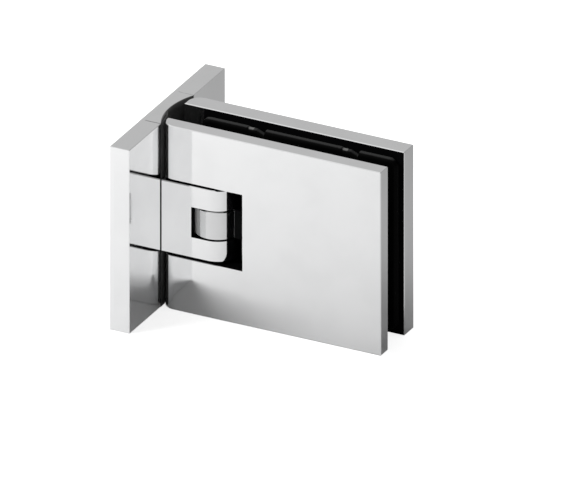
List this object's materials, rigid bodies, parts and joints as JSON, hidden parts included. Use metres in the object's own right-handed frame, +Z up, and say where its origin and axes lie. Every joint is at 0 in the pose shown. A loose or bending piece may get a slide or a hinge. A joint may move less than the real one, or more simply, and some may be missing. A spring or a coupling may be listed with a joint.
{
  "type": "glass door hinge",
  "caption": "Wall-to-glass door hinge in polished chrome: a wall plate with a knuckled arm, a pivot barrel and two square clamp plates with black pads that grip the glass.",
  "frame": {"origin": "middle of the wall plate's rear face, which lies on the wall, half way up", "axes": "+X out from the wall along the closed door, +Y from the front of the door to its back, +Z up"},
  "size_m": [0.1185, 0.093, 0.09],
  "materials": {
    "polished_chrome": "mirror-polished chrome plating",
    "brushed_steel_plate": "chrome-plated, satin on the wall face",
    "screw_steel": "bright stainless steel",
    "pin_steel": "ground stainless steel",
    "spring_steel": "rolled spring steel",
    "black_rubber": "matt moulded rubber",
    "black_plastic": "matt moulded nylon",
    "bush_plastic": "graphite-filled bearing plastic"
  },
  "bodies": {
    "wall_side": {"wall_base_plate": "brushed_steel_plate", "hinge_bracket": "polished_chrome", "bracket_screws": "screw_steel", "front_wing_cover": "polished_chrome", "rear_wing_cover": "polished_chrome", "front_cover_clip": "spring_steel", "rear_cover_clip": "spring_steel", "clip_rivets": "screw_steel", "recess_seal": "black_rubber", "hinge_pin": "pin_steel", "pin_lock_screws": "screw_steel"},
    "door_side": {"front_clamp_plate": "polished_chrome", "rear_clamp_plate": "polished_chrome", "front_glass_pad": "black_rubber", "rear_glass_pad": "black_rubber", "notch_liner": "black_plastic", "door_leaf": "polished_chrome", "upper_bush": "bush_plastic", "lower_bush": "bush_plastic", "clamp_screws": "screw_steel", "front_plate_screws": "screw_steel"}
  },
  "joints": [
    {"name": "door_swing", "type": "hinge", "parent": "wall_side", "child": "door_side", "pos_m": [0.0327, -0.0057, 0], "axis": [0, 0, -1], "range_deg": [0, 100]}
  ]
}
